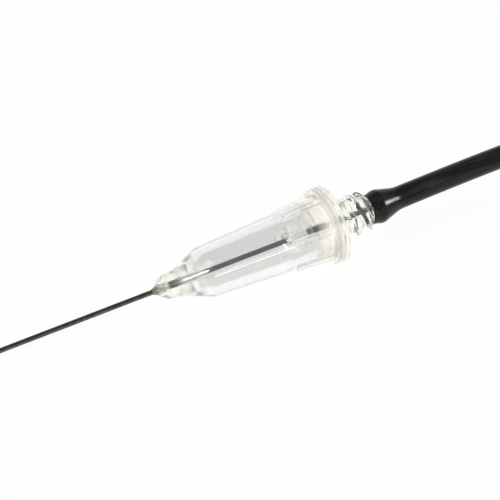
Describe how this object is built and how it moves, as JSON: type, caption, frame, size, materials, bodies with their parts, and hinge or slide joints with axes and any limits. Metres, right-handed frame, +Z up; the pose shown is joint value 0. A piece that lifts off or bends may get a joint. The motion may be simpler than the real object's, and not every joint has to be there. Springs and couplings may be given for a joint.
{
  "type": "blood collection needle",
  "caption": "Multi-sample blood collection needle with a clear view chamber, round flange, double-start thread and black rubber sleeve, lying at rest.",
  "frame": {"origin": "on the table, under the middle of the resting needle's box", "axes": "+X from the patient needle's point to the tube side, +Z up; the needle's own axis lies in the XZ plane with its nose dipped by 5.47 degrees, as it rests on its flange and on the heel of its point's bevel"},
  "size_m": [0.09, 0.0114, 0.0115],
  "materials": {
    "steel": "drawn and polished stainless tube",
    "tube_steel": "drawn and polished stainless tube",
    "adhesive": "cured clear adhesive with a pale olive tint",
    "clear_housing": "clear moulded plastic",
    "clear_hub": "clear moulded plastic, faint warm tint",
    "black_rubber": "black rubber, satin"
  },
  "bodies": {
    "root": {"patient_cannula": "steel", "nose_adhesive": "adhesive", "view_housing": "clear_housing", "threaded_hub": "clear_hub", "tube_cannula": "tube_steel", "rubber_sleeve": "black_rubber"}
  },
  "joints": []
}
